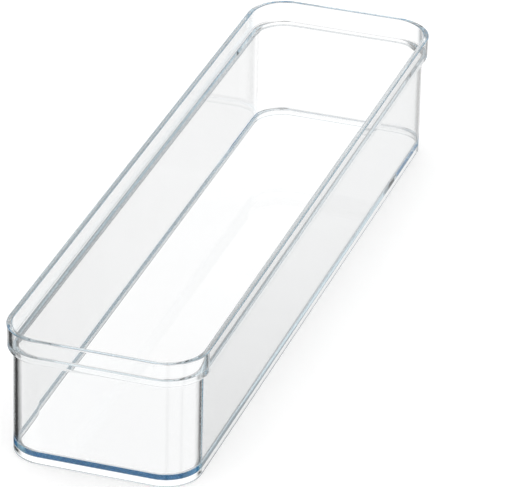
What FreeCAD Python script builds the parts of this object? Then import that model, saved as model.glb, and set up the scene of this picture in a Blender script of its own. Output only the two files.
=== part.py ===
"""Clear drawer organizer bin, one injection moulding: foot ring, floor, walls and rim collar.

Frame: X across the bin, Y along it, Z up. The origin is the middle of the bin on the surface that it
stands on. All sizes are millimetres.
"""
import FreeCAD, Part
import math
import os

import Sketcher

# Driving sizes. An inset is measured inwards from the rim's outer outline, a depth down from the rim.
SIZES = {
    "width": 76.2,
    "length": 304.8,
    "height": 51.8,
    "corner_radius": 16.3,
    "wall_inset": 2.3,
    "wall_thickness": 1.7,
    "stack_clearance": 0.2,
    "lip_round": 0.5,
    "collar_depth": 8.65,
    "collar_lean": 0.25,
    "under_round": 1.4,
    "under_blend": 0.8,
    "ledge_depth": 7.7,
    "ledge_cove": 0.4,
    "ledge_round": 0.5,
    "floor_thickness": 1.85,
    "floor_cove": 1.25,
    "floor_land": 3.0,
    "foot_height": 2.5,
    "foot_cove": 0.3,
    "foot_round": 0.5,
}

doc = FreeCAD.newDocument("drawer_organizer_bin")
sheet = doc.addObject("Spreadsheet::Sheet", "Sizes")
for row, (alias, number) in enumerate(SIZES.items(), start=1):
    sheet.set(f"A{row}", alias)
    sheet.set(f"B{row}", str(number))
    sheet.setAlias(f"B{row}", alias)
doc.recompute()


def size(alias):
    """One driving size, read back from the sheet."""
    return float(getattr(sheet, alias))


# Names that the sketcher gives to the ends of a piece of geometry, and to the sketch's own origin
START, END, CENTRE = 1, 2, 3
ORIGIN = (-1, 1)
X_AXIS = -1


class Chain:
    """A sketch on one of the body's origin planes: a closed chain of lines and arcs."""

    def __init__(self, body, name, plane_role):
        self.sketch = body.newObject("Sketcher::SketchObject", name)
        plane = next(p for p in body.Origin.OriginFeatures if p.Role == plane_role)
        self.sketch.AttachmentSupport = [(plane, "")]
        self.sketch.MapMode = "FlatFace"
        self.ends = []

    def line(self, a, b, along=None):
        """A straight run from a to b, held Horizontal or Vertical if along says so."""
        run = Part.LineSegment(FreeCAD.Vector(*a, 0), FreeCAD.Vector(*b, 0))
        number = self.sketch.addGeometry(run, False)
        self.ends.append((START, END))
        if along:
            self.rule(along, number)
        return number

    def arc(self, centre, a, b):
        """The shorter arc from a to b round its centre. The sketch stores every arc anticlockwise."""
        first = math.atan2(a[1] - centre[1], a[0] - centre[0])
        last = math.atan2(b[1] - centre[1], b[0] - centre[0])
        turn = (last - first + math.pi) % (2 * math.pi) - math.pi
        low, high = (first, first + turn) if turn > 0 else (last, last - turn)
        radius = math.dist(centre, a)
        circle = Part.Circle(FreeCAD.Vector(*centre, 0), FreeCAD.Vector(0, 0, 1), radius)
        number = self.sketch.addGeometry(Part.ArcOfCircle(circle, low, high), False)
        self.ends.append((START, END) if turn > 0 else (END, START))
        return number

    def rule(self, *words):
        return self.sketch.addConstraint(Sketcher.Constraint(*words))

    def drive(self, formula, *words):
        """A dimension whose value follows the sheet."""
        self.sketch.setExpression(f"Constraints[{self.rule(*words)}]", formula)

    def across(self, formula, number, place, value):
        self.drive(formula, "DistanceX", *ORIGIN, number, place, value)

    def up(self, formula, number, place, value):
        self.drive(formula, "DistanceY", *ORIGIN, number, place, value)

    def close(self, corners):
        """Joins each piece to the next, smoothly unless its number is in corners."""
        count = len(self.ends)
        for number in range(count):
            after = (number + 1) % count
            kind = "Coincident" if number in corners else "Tangent"
            self.rule(kind, number, self.ends[number][1], after, self.ends[after][0])


def rounded_rectangle(body, name, inset, inset_formula):
    """The rim's outline on the ground plane, moved inwards by inset; it starts on the X axis."""
    chain = Chain(body, name, "XY_Plane")
    x = size("width") / 2 - inset
    y = size("length") / 2 - inset
    r = size("corner_radius") - inset
    right = chain.line((x, 0), (x, y - r), "Vertical")
    corner = chain.arc((x - r, y - r), (x, y - r), (x - r, y))
    back = chain.line((x - r, y), (r - x, y), "Horizontal")
    others = [chain.arc((r - x, y - r), (r - x, y), (-x, y - r))]
    left = chain.line((-x, y - r), (-x, r - y), "Vertical")
    others.append(chain.arc((r - x, r - y), (-x, r - y), (r - x, -y)))
    front = chain.line((r - x, -y), (x - r, -y), "Horizontal")
    others.append(chain.arc((x - r, r - y), (x - r, -y), (x, r - y)))
    last = chain.line((x, r - y), (x, 0), "Vertical")
    chain.close(corners=[last])
    for other in others:
        chain.rule("Equal", corner, other)
    chain.rule("PointOnObject", right, START, X_AXIS)
    chain.drive(f"Sizes.corner_radius - ({inset_formula})", "Radius", corner, r)
    chain.across(f"Sizes.width / 2 - ({inset_formula})", right, START, x)
    chain.up(f"Sizes.length / 2 - ({inset_formula})", back, START, y)
    half_width = f"Sizes.width / 2 - ({inset_formula})"
    chain.drive(half_width, "DistanceX", left, START, *ORIGIN, x)
    half_length = f"Sizes.length / 2 - ({inset_formula})"
    chain.drive(half_length, "DistanceY", front, START, *ORIGIN, y)
    return chain.sketch


def wall_section(body):
    """Section of the +X wall: foot, wall, rounded underside of the collar, lip, ledge and floor edge.

    It is drawn round anticlockwise from the foot's underside. The collar's outer face leans out so
    that the lip's rounding just reaches the full width, and its underside is two arcs that meet
    smoothly: a large one out of the collar and a small one into the wall.
    """
    half = size("width") / 2
    outer = half - size("wall_inset")
    inner = outer - size("wall_thickness")
    lip_inner = outer + size("stack_clearance")
    top = size("height")
    lip = size("lip_round")
    foot = size("foot_round")
    foot_cove = size("foot_cove")
    cove = size("floor_cove")
    ledge = top - size("ledge_depth")
    ledge_cove = size("ledge_cove")
    ledge_round = size("ledge_round")
    underside = size("foot_height")
    floor = underside + size("floor_thickness")
    land_end = inner - cove - size("floor_land")

    # The collar's face touches the lip's rounding, which gives the angle that it leans at
    face_foot = (half - size("collar_lean"), top - size("collar_depth"))
    lip_centre = (half - lip, top - lip)
    run, rise = lip_centre[0] - face_foot[0], lip_centre[1] - face_foot[1]
    lean = math.asin(lip / math.hypot(run, rise)) + math.atan2(run, rise)
    outwards = (math.cos(lean), -math.sin(lean))
    face_top = (lip_centre[0] + lip * outwards[0], lip_centre[1] + lip * outwards[1])

    # Centres of the underside's two arcs, and the point where they meet
    large, small = size("under_round"), size("under_blend")
    large_centre = (face_foot[0] - large * outwards[0], face_foot[1] - large * outwards[1])
    across = outer + small - large_centre[0]
    small_centre = (outer + small, large_centre[1] - math.sqrt((large + small) ** 2 - across ** 2))
    share = large / (large + small)
    meeting = tuple(a + (b - a) * share for a, b in zip(large_centre, small_centre))

    chain = Chain(body, "WallSection", "XZ_Plane")
    ground = chain.line((inner + foot, 0), (outer - foot, 0), "Horizontal")
    foot_outer = chain.arc((outer - foot, foot), (outer - foot, 0), (outer, foot))
    wall_outer = chain.line((outer, foot), (outer, small_centre[1]), "Vertical")
    blend = chain.arc(small_centre, (outer, small_centre[1]), meeting)
    under = chain.arc(large_centre, meeting, face_foot)
    face = chain.line(face_foot, face_top)
    lip_outer = chain.arc(lip_centre, face_top, (lip_centre[0], top))
    rim = chain.line((lip_centre[0], top), (lip_inner + lip, top), "Horizontal")
    lip_edge = chain.arc((lip_inner + lip, top - lip), (lip_inner + lip, top), (lip_inner, top - lip))
    mouth = chain.line((lip_inner, top - lip), (lip_inner, ledge + ledge_cove), "Vertical")
    ledge_root = chain.arc(
        (lip_inner - ledge_cove, ledge + ledge_cove),
        (lip_inner, ledge + ledge_cove),
        (lip_inner - ledge_cove, ledge),
    )
    seat = chain.line((lip_inner - ledge_cove, ledge), (inner + ledge_round, ledge), "Horizontal")
    ledge_edge = chain.arc(
        (inner + ledge_round, ledge - ledge_round),
        (inner + ledge_round, ledge),
        (inner, ledge - ledge_round),
    )
    wall_inner = chain.line((inner, ledge - ledge_round), (inner, floor + cove), "Vertical")
    floor_root = chain.arc((inner - cove, floor + cove), (inner, floor + cove), (inner - cove, floor))
    floor_top = chain.line((inner - cove, floor), (land_end, floor), "Horizontal")
    land = chain.line((land_end, floor), (land_end, underside), "Vertical")
    floor_under = chain.line((land_end, underside), (inner - foot_cove, underside), "Horizontal")
    foot_root = chain.arc(
        (inner - foot_cove, underside - foot_cove),
        (inner - foot_cove, underside),
        (inner, underside - foot_cove),
    )
    foot_wall = chain.line((inner, underside - foot_cove), (inner, foot), "Vertical")
    foot_inner = chain.arc((inner + foot, foot), (inner, foot), (inner + foot, 0))
    chain.close(corners=[floor_top, land])

    chain.rule("Equal", foot_outer, foot_inner)
    chain.rule("Equal", lip_outer, lip_edge)
    chain.rule("PointOnObject", ground, START, X_AXIS)
    rounds = {
        "foot_round": foot_outer,
        "under_blend": blend,
        "under_round": under,
        "lip_round": lip_outer,
        "ledge_cove": ledge_root,
        "ledge_round": ledge_edge,
        "floor_cove": floor_root,
        "foot_cove": foot_root,
    }
    for alias, number in rounds.items():
        chain.drive(f"Sizes.{alias}", "Radius", number, size(alias))

    outer_place = "Sizes.width / 2 - Sizes.wall_inset"
    inner_place = outer_place + " - Sizes.wall_thickness"
    chain.across(outer_place, wall_outer, START, outer)
    chain.across("Sizes.width / 2 - Sizes.collar_lean", face, START, face_foot[0])
    chain.across("Sizes.width / 2 - Sizes.lip_round", lip_outer, CENTRE, lip_centre[0])
    chain.across(outer_place + " + Sizes.stack_clearance", mouth, START, lip_inner)
    chain.across(inner_place, wall_inner, START, inner)
    chain.across(inner_place, foot_wall, START, inner)
    land_place = inner_place + " - Sizes.floor_cove - Sizes.floor_land"
    chain.across(land_place, land, START, land_end)
    chain.up("Sizes.height", rim, START, top)
    chain.up("Sizes.height - Sizes.collar_depth", face, START, face_foot[1])
    chain.up("Sizes.height - Sizes.ledge_depth", seat, START, ledge)
    chain.up("Sizes.foot_height + Sizes.floor_thickness", floor_top, START, floor)
    chain.up("Sizes.foot_height", floor_under, START, underside)
    return chain.sketch


def bin_body():
    """The whole moulding: the wall section carried round the rim's outline, and the floor panel."""
    body = doc.addObject("PartDesign::Body", "bin_body")
    body.Label = "bin_body"
    body.Placement = FreeCAD.Placement()

    outline = rounded_rectangle(body, "RimOutline", 0.0, "0")
    section = wall_section(body)
    doc.recompute()
    walls = body.newObject("PartDesign::AdditivePipe", "Walls")
    walls.Profile = section
    walls.Spine = (outline, [f"Edge{n + 1}" for n in range(outline.GeometryCount)])
    walls.Mode = "Standard"
    walls.Transition = "Transformed"
    doc.recompute()

    floor_inset = (
        size("wall_inset") + size("wall_thickness") + size("floor_cove") + size("floor_land")
    )
    floor_formula = (
        "Sizes.wall_inset + Sizes.wall_thickness + Sizes.floor_cove + Sizes.floor_land"
    )
    panel = rounded_rectangle(body, "FloorOutline", floor_inset, floor_formula)
    panel.setExpression("AttachmentOffset.Base.z", "Sizes.foot_height")
    floor = body.newObject("PartDesign::Pad", "Floor")
    floor.Profile = panel
    floor.setExpression("Length", "Sizes.floor_thickness")
    floor.Refine = True
    doc.recompute()
    body.Tip = floor
    return body


def check(bodies):
    """Stops the build if any object failed or any body's shape is missing or broken."""
    for thing in doc.Objects:
        if "Invalid" in thing.State or "Error" in thing.State:
            raise SystemExit(f"{thing.Name} did not rebuild: {thing.State}")
    for body in bodies:
        if body.Shape.isNull() or not body.Shape.isValid():
            raise SystemExit(f"{body.Label} has no valid shape")


bodies = [bin_body()]
doc.recompute()
check(bodies)
os.makedirs("parts", exist_ok=True)
for body in bodies:
    shape = body.Shape
    shape.exportStep(f"parts/{body.Label}.step")
    box = shape.optimalBoundingBox()
    print(body.Label, f"{box.XLength:.2f} x {box.YLength:.2f} x {box.ZLength:.2f} mm")
    print("solids", len(shape.Solids), f"volume {shape.Volume / 1000:.2f} cm3")
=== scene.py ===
"""A clear drawer organizer bin standing on a white studio floor, in metres, with +Z up."""

import math

import bpy
import numpy as np
from mathutils import Matrix, Vector


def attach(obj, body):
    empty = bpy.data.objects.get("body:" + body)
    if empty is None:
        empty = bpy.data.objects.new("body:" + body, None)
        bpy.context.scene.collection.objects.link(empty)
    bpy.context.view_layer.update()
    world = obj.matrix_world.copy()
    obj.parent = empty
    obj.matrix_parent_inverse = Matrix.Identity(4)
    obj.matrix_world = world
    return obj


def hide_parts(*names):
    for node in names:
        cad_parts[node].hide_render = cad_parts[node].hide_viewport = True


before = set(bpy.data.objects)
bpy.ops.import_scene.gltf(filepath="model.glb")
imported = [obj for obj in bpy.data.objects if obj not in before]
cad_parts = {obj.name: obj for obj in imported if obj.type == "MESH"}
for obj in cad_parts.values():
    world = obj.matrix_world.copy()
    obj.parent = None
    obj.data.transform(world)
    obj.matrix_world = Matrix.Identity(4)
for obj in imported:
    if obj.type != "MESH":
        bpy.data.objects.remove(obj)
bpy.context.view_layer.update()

# The bin
# One injection moulding in clear, polished, rigid plastic. Its wall section, carried round the rim's
# outline, makes the foot ring, walls and rim collar, and a flat floor closes it. Insets are measured
# inwards from the rim's outline, heights up from the ground.
MM = 0.001

# Overall size and the rim's corners in plan
width = 76.2 * MM
length = 304.8 * MM
height = 51.8 * MM
corner_radius = 16.3 * MM

# Insets of the wall's two sides, and the rounds of the foot ring that they run down into
wall_outer = 2.3 * MM
wall_inner = 4.0 * MM
foot_round = 0.5 * MM
foot_cove = 0.3 * MM

# Heights of the floor's two sides, and how far the section runs on into it past its cove
floor_top = 4.35 * MM
floor_under = 2.5 * MM
floor_cove = 1.25 * MM
floor_land = 3.0 * MM
floor_edge = wall_inner + floor_cove + floor_land

# The inner ledge on which another bin's foot stands, and the rim's lip above it
ledge_height = 44.1 * MM
ledge_round = 0.5 * MM
ledge_cove = 0.4 * MM
lip_inner = 2.1 * MM
lip_round = 0.5 * MM

# The collar's outer face leans in to the inset face_foot at its lower end. A convex round and then a
# concave one lead from there back to the wall.
face_foot = 0.25 * MM
face_foot_height = 43.15 * MM
under_round = 1.4 * MM
under_blend = 0.8 * MM

# Mesh points: what counts as a long flat run, how close its extra points lie, and steps per corner
long_run = 0.5 * MM
section_hold = 0.04 * MM
outline_hold = 0.05 * MM
corner_steps = 56


def arc(centre, radius, first, last, steps):
    """Points centre + radius (cos a, sin a), with a running from first to last in degrees."""
    a = np.radians(np.linspace(first, last, steps + 1))
    return np.column_stack([centre[0] + radius * np.cos(a), centre[1] + radius * np.sin(a)])


def held(points):
    """The open outline with an extra point close to both ends of each long run, so it shades flat."""
    run = points[1:] - points[:-1]
    span = np.linalg.norm(run, axis=1, keepdims=True)
    step = run / span * section_hold
    start_and_holds = np.stack([points[:-1], points[:-1] + step, points[1:] - step], axis=1)
    is_long = span[:, 0] > long_run
    kept = np.column_stack([np.ones(len(run), bool), is_long, is_long])
    return np.concatenate([start_and_holds[kept], points[-1:]])


def wall_section():
    """The wall's section as (inset, height) points, from the floor's top edge round to its underside.

    The collar's face touches the lip's round; below it a convex and a concave arc that touch each
    other and the wall make the collar's underside: centre distance = sum of their radii.
    """
    run = face_foot - lip_round
    rise = height - lip_round - face_foot_height
    lean = math.asin(lip_round / math.hypot(run, rise)) + math.atan2(run, rise)
    convex = (face_foot + under_round * math.cos(lean), face_foot_height - under_round * math.sin(lean))
    concave_inset = wall_outer - under_blend
    drop = math.sqrt((under_round + under_blend) ** 2 - (convex[0] - concave_inset) ** 2)
    concave = (concave_inset, convex[1] - drop)
    slope = math.degrees(math.atan2(drop, convex[0] - concave_inset))
    face_angle = 180 - math.degrees(lean)
    parts = [
        np.array([[floor_edge, floor_top]]),
        arc((wall_inner + floor_cove, floor_top + floor_cove), floor_cove, 270, 180, 12),
        arc((wall_inner + ledge_round, ledge_height - ledge_round), ledge_round, 180, 90, 8),
        arc((lip_inner + ledge_cove, ledge_height + ledge_cove), ledge_cove, 270, 180, 8),
        arc((lip_inner - lip_round, height - lip_round), lip_round, 0, 90, 14),
        arc((lip_round, height - lip_round), lip_round, 90, face_angle, 14),
        arc(convex, under_round, face_angle, 180 + slope, 14),
        arc(concave, under_blend, slope, 0, 10),
        arc((wall_outer + foot_round, foot_round), foot_round, 180, 270, 8),
        arc((wall_inner - foot_round, foot_round), foot_round, 270, 360, 8),
        arc((wall_inner + foot_cove, floor_under - foot_cove), foot_cove, 180, 90, 6),
        np.array([[floor_edge, floor_under]]),
    ]
    return held(np.concatenate(parts))


def rim_outline():
    """The rim's outline as corner centre and outward direction (cx, cy, nx, ny).

    A point at inset o is (cx, cy) + (corner_radius - o) (nx, ny). Round a corner the centre stays and
    the direction turns. On a straight side the direction stays, and the centre runs to the next
    corner's, with a point close to both ends, so the side shades flat.
    """
    x, y = width / 2 - corner_radius, length / 2 - corner_radius
    centres = np.array([[x, y], [-x, y], [-x, -y], [x, -y]])
    quarter_turn = np.linspace(0, math.pi / 2, corner_steps + 1)
    stretches = []
    for corner, centre in enumerate(centres):
        angle = quarter_turn + corner * math.pi / 2
        place = np.tile(centre, (len(angle), 1))
        stretches.append(np.column_stack([place, np.cos(angle), np.sin(angle)]))
        way = centres[(corner + 1) % 4] - centre
        hold = outline_hold / np.linalg.norm(way)
        share = np.array([[hold], [0.25], [0.5], [0.75], [1 - hold]])
        direction = np.tile([np.cos(angle[-1]), np.sin(angle[-1])], (len(share), 1))
        stretches.append(np.hstack([centre + share * way, direction]))
    return np.concatenate(stretches)


section = wall_section()
outline = rim_outline()
reach = corner_radius - section[:, 0]
surface = np.empty((len(outline), len(section), 3))
surface[..., :2] = outline[:, None, :2] + reach[None, :, None] * outline[:, None, 2:]
surface[..., 2] = section[:, 1]

rows, columns = surface.shape[:2]
number = np.arange(rows * columns).reshape(rows, columns)
following = np.roll(number, -1, axis=0)
quads = np.stack([number[:, :-1], number[:, 1:], following[:, 1:], following[:, :-1]], axis=-1)
floor_faces = [number[:, 0].tolist(), number[::-1, -1].tolist()]
faces = quads.reshape(-1, 4).tolist() + floor_faces
bin_mesh = bpy.data.meshes.new("bin")
bin_mesh.from_pydata(surface.reshape(-1, 3).tolist(), [], faces)
bin_mesh.polygons.foreach_set("use_smooth", np.ones(len(faces), bool))
bin_mesh.update()
bin_piece = bpy.data.objects.new("bin", bin_mesh)
bpy.context.scene.collection.objects.link(bin_piece)

# The plastic takes a little red and less green out of the light, so it is clear across a wall and blue
# along one. Its depth is how strongly it does so, for each metre.
bending = 1.57
depth_colour = (0.62, 0.83, 0.92, 1)
depth = 10.0

clear_plastic = bpy.data.materials.new("bin_plastic")
clear_plastic.use_nodes = True
plastic_tree = clear_plastic.node_tree
plastic = plastic_tree.nodes["Principled BSDF"]
plastic.inputs["Base Color"].default_value = (1.0, 1.0, 1.0, 1)
plastic.inputs["IOR"].default_value = bending
plastic.inputs["Transmission Weight"].default_value = 1.0


class Signal:
    """The output of a shader node, which takes part in sums, differences and products like a number."""

    def __init__(self, tree, socket):
        self.tree = tree
        self.socket = socket

    @classmethod
    def node(cls, tree, kind, output=0, inputs=(), **settings):
        """One output of a new node, whose settings are set first and then its inputs' values or links."""
        made = tree.nodes.new(kind)
        for setting, value in settings.items():
            setattr(made, setting, value)
        for socket, value in dict(inputs).items():
            if isinstance(value, Signal):
                tree.links.new(value.socket, made.inputs[socket])
            else:
                made.inputs[socket].default_value = value
        return cls(tree, made.outputs[output])

    def op(self, operation, *others):
        """This signal and the others through a Math node."""
        terms = enumerate((self, *others))
        return self.node(self.tree, "ShaderNodeMath", inputs=terms, operation=operation)

    def ramp(self, start, end):
        """0 at start and 1 at end, smooth between them and steady beyond."""
        limits = {"Value": self, "From Min": start, "From Max": end}
        return self.node(self.tree, "ShaderNodeMapRange", inputs=limits, interpolation_type="SMOOTHSTEP")

    def feed(self, socket):
        """Link this signal into a socket of another node."""
        self.tree.links.new(self.socket, socket)

    def __add__(self, other):
        return self.op("ADD", other)

    def __mul__(self, other):
        return self.op("MULTIPLY", other)

    def __sub__(self, other):
        return self.op("SUBTRACT", other)

    def __rsub__(self, other):
        return self.node(self.tree, "ShaderNodeMath", inputs={0: other, 1: self}, operation="SUBTRACT")

    __radd__ = __add__
    __rmul__ = __mul__


blue_depth = Signal.node(plastic_tree, "ShaderNodeVolumeAbsorption", "Volume",
                         {"Color": depth_colour, "Density": depth})
blue_depth.feed(plastic_tree.nodes["Material Output"].inputs["Volume"])

# The polished skin waves faintly, as plastic that shrinks in the mould does. The foot's underside and
# the rim's top are rubbed dull, and hairlines cross the floor, where cutlery slides along it.
skin_wave = 25 * MM
skin_depth = 0.03 * MM
rubbed_band = 0.15 * MM
rubbed_roughness = 0.12
grain_size = 1.0 * MM
grain_low, grain_high = 0.3, 0.7
hairline_width = 0.25 * MM
hairline_length = 25 * MM
hairline_roughness = 0.10
hairline_low, hairline_high = 0.70, 0.76

place = Signal.node(plastic_tree, "ShaderNodeTexCoord", "Object")
height_here = Signal.node(plastic_tree, "ShaderNodeSeparateXYZ", "Z", {0: place})

waves = Signal.node(plastic_tree, "ShaderNodeTexNoise",
                    inputs={"Vector": place, "Scale": 1 / skin_wave, "Detail": 1.0})
skin = Signal.node(plastic_tree, "ShaderNodeBump", inputs={"Height": waves, "Distance": skin_depth})
skin.feed(plastic.inputs["Normal"])

grain = Signal.node(plastic_tree, "ShaderNodeTexNoise",
                    inputs={"Vector": place, "Scale": 1 / grain_size, "Detail": 3.0})
foot_underside = 1 - height_here.ramp(0.0, rubbed_band)
rim_top = height_here.ramp(height - rubbed_band, height)
rubbed = (foot_underside + rim_top) * grain.ramp(grain_low, grain_high) * rubbed_roughness

stretch = (1 / hairline_width, 1 / hairline_length, 1 / hairline_length)
lanes = Signal.node(plastic_tree, "ShaderNodeVectorMath",
                    inputs={0: place, 1: stretch}, operation="MULTIPLY")
streaks = Signal.node(plastic_tree, "ShaderNodeTexNoise",
                      inputs={"Vector": lanes, "Scale": 1.0, "Detail": 0.0})
from_below = height_here.ramp(floor_top - rubbed_band, floor_top)
from_above = 1 - height_here.ramp(floor_top, floor_top + rubbed_band)
hairlines = streaks.ramp(hairline_low, hairline_high) * (from_above * from_below)
dullness = rubbed + hairlines * hairline_roughness
dullness.feed(plastic.inputs["Roughness"])
bin_mesh.materials.append(clear_plastic)

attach(bin_piece, "root")
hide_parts("bin_body")

# Studio floor
# A matt white sweep, well past the picture on every side and a hair under the bin, with air between.
# It takes the bin's shadow, and the camera sees it lifted to white. What shows in and through the bin
# is the studio's light, not this sweep.
sweep_half_size = 3.0
sweep_gap = 0.05 * MM
sweep_white = 0.9
sweep_lift = 0.30

corners = np.array([[-1, -1], [1, -1], [1, 1], [-1, 1]]) * sweep_half_size
sweep_points = np.column_stack([corners, np.full(4, -sweep_gap)])
sweep_mesh = bpy.data.meshes.new("studio_floor")
sweep_mesh.from_pydata(sweep_points.tolist(), [], [(0, 1, 2, 3)])
sweep = bpy.data.objects.new("studio_floor", sweep_mesh)
bpy.context.scene.collection.objects.link(sweep)
sweep_paint = bpy.data.materials.new("studio_floor_white")
sweep_paint.use_nodes = True
sweep_tree = sweep_paint.node_tree
paint = sweep_tree.nodes["Principled BSDF"]
paint.inputs["Base Color"].default_value = (sweep_white, sweep_white, sweep_white, 1)
paint.inputs["Roughness"].default_value = 1.0
paint.inputs["Specular IOR Level"].default_value = 0.0
paint.inputs["Emission Strength"].default_value = 1.0
lifted = Signal.node(sweep_tree, "ShaderNodeLightPath", "Is Camera Ray") * sweep_lift
lifted.feed(paint.inputs["Emission Color"])
sweep_mesh.materials.append(sweep_paint)
sweep.visible_glossy = False
sweep.visible_transmission = False

# Light
# A studio room made of patches, each laid over those before it with a soft edge: azimuths from +Y towards
# +X and elevations, in degrees, and a brightness. Dark cloths beside a narrow white backdrop draw the
# dark edges, and pale panels keep the bin clear from every other side.
room_level = 0.35
soft_edge = 5.5
seam = 230  # azimuths run from seam - 360 to seam
all_round = (-400, 400)  # past both ends of the turn, so that no soft edge shows there
straight_down, straight_up = -100, 100  # past the vertical, likewise
room_patches = {
    "floor far below": (all_round, (straight_down, -57), 0.59),
    "pale panels at the right": ((43.5, 233), (-59.5, 63), 0.86),
    "white ceiling": (all_round, (55, straight_up), 0.83),
    "lamp high on the right": ((21, 53), (25.5, 50), 1.15),
    "dark cloth at the left": ((-124, -32), (-42.5, -2), 0.04),
    "dark cloth high on the left": ((-88, -53.5), (18.5, 51.5), 0.0),
    "white backdrop": ((-29.5, -7.5), (-64.5, 28), 1.10),
    "grey backdrop": ((0, 43.5), (-30, -24), 0.71),
    "dark cloth at the right": ((21, 57), (-34, -22.5), 0.0),
    "shade under the backdrop": ((-23, -8.5), (-67.5, -52.5), 0.0),
    "pale gap at the right": ((39, 57.5), (-26.5, -18), 0.78),
    "dark slot behind": ((2.5, 12.5), (-29.5, -9), 0.10),
    "white wing of the backdrop": ((-40.5, -21.5), (-30, -13), 1.15),
    "white panel at the far left": ((-134, -77), (-31.5, 17), 0.86),
    "pale strip below the slot": ((0, 10.5), (-33, -23.5), 0.86),
    "pale sill at the right": ((20, 55), (-46, -37), 0.65),
    "dark strip at the right": ((107.5, 117.5), (-55, 30), 0.35),
    "dark strip in front": ((152.5, 162.5), (-55, 30), 0.35),
}
ring_level, ring_half_width, ring_elevation = 0.62, 6, (-28, -12)
for heading in (-90, -45, 0, 45):
    panel = (heading - ring_half_width, heading + ring_half_width)
    room_patches[f"pale panel at {heading}"] = (panel, ring_elevation, ring_level)
room_patches["pale table below"] = (all_round, (straight_down, -70), 0.95)

scene = bpy.context.scene
world = bpy.data.worlds.new("studio")
scene.world = world
world.use_nodes = True
room = world.node_tree
outward = Signal.node(room, "ShaderNodeTexCoord", "Generated")
east, north, upward = (Signal.node(room, "ShaderNodeSeparateXYZ", axis, {0: outward}) for axis in "XYZ")
azimuth = (east.op("ARCTAN2", north) * (180 / math.pi)).op("WRAP", seam, seam - 360)
elevation = upward.op("ARCSINE") * (180 / math.pi)


def window(angle, low, high):
    """1 between low and high, fading to 0 at each end over soft_edge."""
    rise = angle.ramp(low - soft_edge / 2, low + soft_edge / 2)
    return rise * (1 - angle.ramp(high - soft_edge / 2, high + soft_edge / 2))


light = room_level
for azimuths, elevations, brightness in room_patches.values():
    inside = window(azimuth, *azimuths) * window(elevation, *elevations)
    light = light + inside * (brightness - light)

# The camera itself, and all that a matt surface sees or has sent on, gets this even white instead.
even_white = 1.0

seen_directly = Signal.node(room, "ShaderNodeLightPath", "Is Camera Ray")
lights_matt = Signal.node(room, "ShaderNodeLightPath", "Is Diffuse Ray")
after_matt = Signal.node(room, "ShaderNodeLightPath", "Diffuse Depth").op("GREATER_THAN", 0.5)
even = after_matt.op("MAXIMUM", seen_directly).op("MAXIMUM", lights_matt)
level = light + even * (even_white - light)
background = room.nodes["Background"]
background.inputs["Color"].default_value = (1, 1, 1, 1)
level.feed(background.inputs["Strength"])

# Camera
# The photograph's view: a long lens, from the front right and above, with the camera rolled slightly.
# The lens is given as its focal length over the photograph's width, both in pixels.
view_turn = math.radians(17.633)
view_tilt = math.radians(28.008)
view_roll = math.radians(1.324)
distance = 1788.5 * MM
slide_right = 9.987 * MM
slide_up = 17.228 * MM
focal_pixels = 4630.3
photo_pixels = 508

back = Vector((math.sin(view_turn) * math.cos(view_tilt), -math.cos(view_turn) * math.cos(view_tilt),
               math.sin(view_tilt)))
level_right = Vector((math.cos(view_turn), math.sin(view_turn), 0))
level_up = back.cross(level_right)
right = math.cos(view_roll) * level_right + math.sin(view_roll) * level_up
up = math.cos(view_roll) * level_up - math.sin(view_roll) * level_right
lens = bpy.data.cameras.new("camera")
lens.sensor_width = 36.0
lens.lens = lens.sensor_width * focal_pixels / photo_pixels
camera = bpy.data.objects.new("camera", lens)
spot = slide_right * right + slide_up * up + distance * back
camera.matrix_world = Matrix.Translation(spot) @ Matrix((right, up, back)).transposed().to_4x4()
scene.collection.objects.link(camera)
scene.camera = camera

# Picture
# Plain colours, and enough bounces for light that runs along inside the walls and floor, which is what
# makes the blue band at the bin's foot.
inner_bounces = 1024
matt_bounces = 4

scene.view_settings.view_transform = "Standard"
scene.cycles.max_bounces = inner_bounces
scene.cycles.transmission_bounces = inner_bounces
scene.cycles.glossy_bounces = inner_bounces
scene.cycles.diffuse_bounces = matt_bounces
